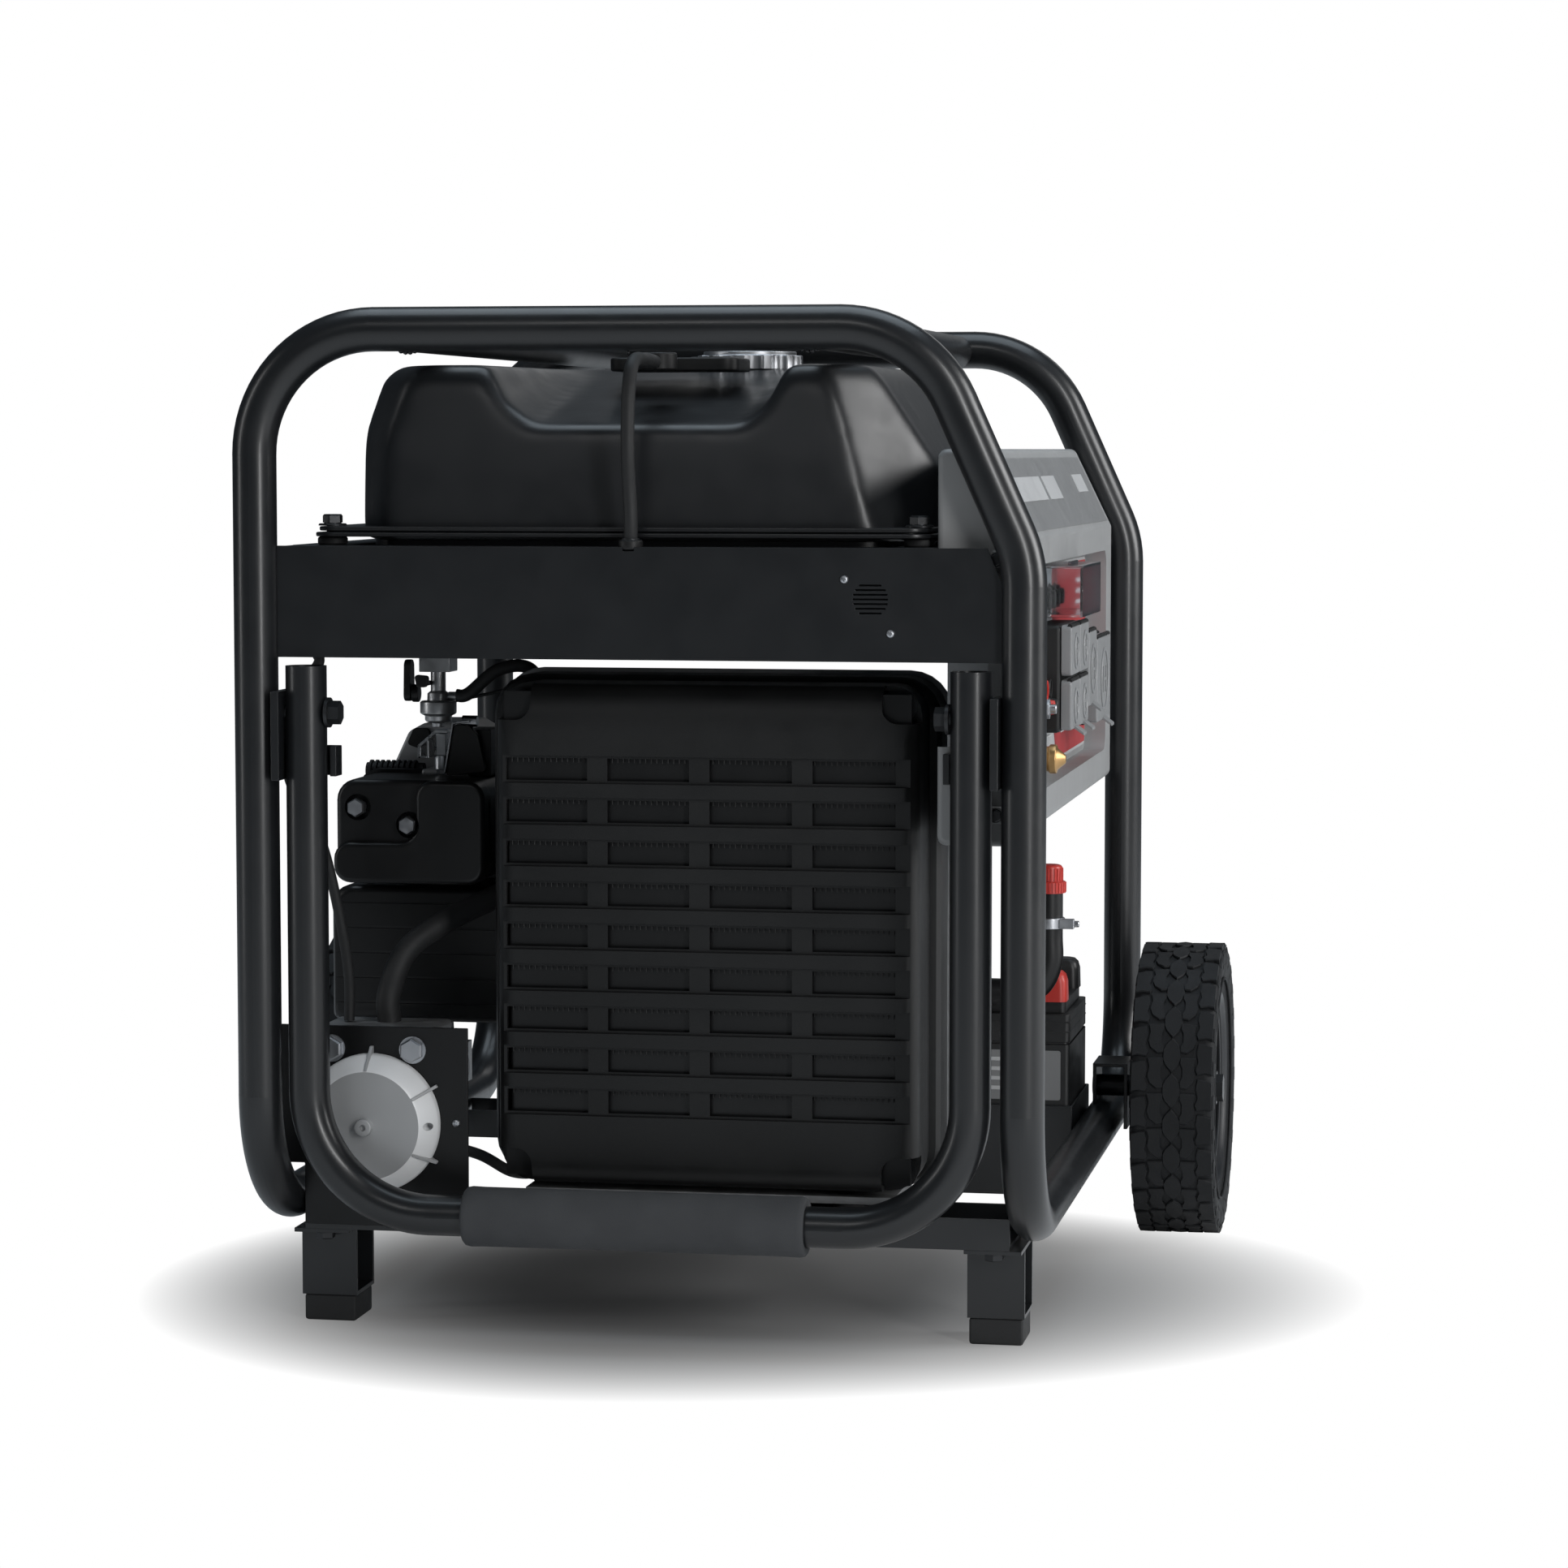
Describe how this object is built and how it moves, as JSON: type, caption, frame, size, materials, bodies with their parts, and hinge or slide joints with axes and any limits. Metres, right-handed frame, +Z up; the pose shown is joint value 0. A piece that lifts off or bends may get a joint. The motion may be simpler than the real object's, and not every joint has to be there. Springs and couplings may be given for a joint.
{
  "type": "portable generator",
  "caption": "Open-frame portable inverter generator with a drop-down handle, tank, engine with grilled fan cover, battery, wheels and an outlet panel.",
  "frame": {"origin": "centre of the bounding box's bottom face, on the floor midway between the wheels and between the grip's front and the rear hoop's back", "axes": "+Z up, -Y towards the carrying handle and fan cover, +X towards the outlet panel"},
  "size_m": [0.7648, 0.75, 0.758],
  "materials": {
    "frame_black": "semi-gloss powder coat",
    "tank_black": "semi-gloss paint",
    "plastic_black": "fine moulded grain",
    "shroud_black": "satin paint",
    "battery_black": "satin moulded case",
    "wheel_black": "satin paint",
    "rubber_black": "matt",
    "tyre": "moulded tread",
    "foam_grey": "closed-cell foam",
    "panel_grey": "moulded",
    "cover_grey": "moulded",
    "red_plastic": "moulded",
    "clear_plastic": "clear polycarbonate",
    "chrome_cap": "polished plate",
    "zinc": "bright zinc plate",
    "black_steel": "black oxide",
    "bright_steel": "ground",
    "muffler_steel": "heat-darkened",
    "cast_alloy": "as cast",
    "cast_iron": "as cast",
    "copper": "enamelled copper windings",
    "brass": "machined"
  },
  "bodies": {
    "root": {"front_hoop": "frame_black", "rear_hoop": "frame_black", "frame_rails": "frame_black", "cross_members": "frame_black", "foot_brackets": "frame_black", "rubber_feet": "rubber_black", "engine_mounts": "rubber_black", "shelf_panels": "frame_black", "shelf_side_rails": "frame_black", "fuel_tank": "tank_black", "tank_isolators": "rubber_black", "tank_fittings": "plastic_black", "hex_bolts": "zinc", "panel_screws": "zinc", "handle_brackets": "frame_black", "pivot_bolts": "black_steel", "stub_axles": "black_steel", "axle_brackets": "frame_black", "fan_cover": "plastic_black", "fan_housing": "cast_alloy", "stator": "copper", "engine_block": "cast_alloy", "cylinder_head": "cast_alloy", "cylinder_shroud": "shroud_black", "valve_cover": "shroud_black", "carburettor": "cast_alloy", "air_cleaner": "plastic_black", "muffler": "muffler_steel", "fuel_valve": "zinc", "rubber_hoses": "rubber_black", "spark_plug_boot": "rubber_black", "regulator_plate": "frame_black", "regulator_body": "cast_alloy", "battery": "battery_black", "battery_tray": "frame_black", "oil_pipe": "rubber_black", "panel_housing": "panel_grey", "inverter": "cast_alloy", "outlets": "plastic_black", "panel_controls": "plastic_black", "propane_inlet": "brass"},
    "handle": {"handle_tube": "frame_black", "handle_grip": "foam_grey"},
    "left_wheel": {"left_tyre": "tyre", "left_rim": "wheel_black"},
    "right_wheel": {"right_tyre": "tyre", "right_rim": "wheel_black"},
    "rotor": {"crankshaft": "bright_steel", "flywheel_fan": "cast_iron"},
    "fuel_cap": {"fuel_cap": "chrome_cap"},
    "valve_lever": {"fuel_valve_lever": "plastic_black"},
    "oil_cap": {"oil_cap": "red_plastic"},
    "upper_cover_1": {"upper_cover_1": "cover_grey"},
    "upper_cover_2": {"upper_cover_2": "cover_grey"},
    "lower_cover_1": {"lower_cover_1": "cover_grey"},
    "lower_cover_2": {"lower_cover_2": "cover_grey"},
    "lock_cover": {"lock_cover": "cover_grey"},
    "large_cover": {"large_cover": "cover_grey"},
    "breaker_cover": {"breaker_cover": "clear_plastic"},
    "start_button": {"start_button": "red_plastic"}
  },
  "joints": [
    {"name": "handle_swing", "type": "hinge", "parent": "root", "child": "handle", "pos_m": [0, -0.353, 0.465], "axis": [-1, 0, 0], "range_deg": [0, 90]},
    {"name": "left_wheel_spin", "type": "hinge", "parent": "root", "child": "left_wheel", "pos_m": [-0.347, 0.2155, 0.1216], "axis": [1, 0, 0], "continuous": true},
    {"name": "right_wheel_spin", "type": "hinge", "parent": "root", "child": "right_wheel", "pos_m": [0.347, 0.2155, 0.1216], "axis": [1, 0, 0], "continuous": true},
    {"name": "rotor_spin", "type": "hinge", "parent": "root", "child": "rotor", "pos_m": [0.039, -0.153, 0.298], "axis": [0, 1, 0], "continuous": true},
    {"name": "fuel_cap_turn", "type": "hinge", "parent": "root", "child": "fuel_cap", "pos_m": [0.033, -0.078, 0.72], "axis": [0, 0, 1], "range_deg": [0, 180]},
    {"name": "valve_lever_turn", "type": "hinge", "parent": "root", "child": "valve_lever", "pos_m": [-0.214, -0.153, 0.468], "axis": [1, 0, 0], "range_deg": [0, 90]},
    {"name": "oil_cap_turn", "type": "hinge", "parent": "root", "child": "oil_cap", "pos_m": [0.249, 0.087, 0.3], "axis": [0, 0, 1], "range_deg": [0, 180]},
    {"name": "upper_cover_1_lift", "type": "hinge", "parent": "root", "child": "upper_cover_1", "pos_m": [0.283, -0.052, 0.52], "axis": [0, -1, 0], "range_deg": [0, 90], "stiffness_Nm_per_rad": 0.02, "springref_deg": -20.05},
    {"name": "upper_cover_2_lift", "type": "hinge", "parent": "root", "child": "upper_cover_2", "pos_m": [0.283, 0.01, 0.52], "axis": [0, -1, 0], "range_deg": [0, 90], "stiffness_Nm_per_rad": 0.02, "springref_deg": -20.05},
    {"name": "lower_cover_1_lift", "type": "hinge", "parent": "root", "child": "lower_cover_1", "pos_m": [0.283, -0.052, 0.478], "axis": [0, -1, 0], "range_deg": [0, 90], "stiffness_Nm_per_rad": 0.02, "springref_deg": -20.05},
    {"name": "lower_cover_2_lift", "type": "hinge", "parent": "root", "child": "lower_cover_2", "pos_m": [0.283, 0.01, 0.478], "axis": [0, -1, 0], "range_deg": [0, 90], "stiffness_Nm_per_rad": 0.02, "springref_deg": -20.05},
    {"name": "lock_cover_lift", "type": "hinge", "parent": "root", "child": "lock_cover", "pos_m": [0.283, 0.073, 0.511], "axis": [0, -1, 0], "range_deg": [0, 90], "stiffness_Nm_per_rad": 0.02, "springref_deg": -20.05},
    {"name": "large_cover_lift", "type": "hinge", "parent": "root", "child": "large_cover", "pos_m": [0.283, 0.158, 0.503], "axis": [0, -1, 0], "range_deg": [0, 90], "stiffness_Nm_per_rad": 0.02, "springref_deg": -20.05},
    {"name": "breaker_cover_lift", "type": "hinge", "parent": "root", "child": "breaker_cover", "pos_m": [0.275, 0.012, 0.567], "axis": [0, -1, 0], "range_deg": [0, 90]},
    {"name": "start_button_press", "type": "slide", "parent": "root", "child": "start_button", "axis": [-1, 0, 0], "range_m": [0, 0.003], "stiffness_N_per_m": 400}
  ]
}
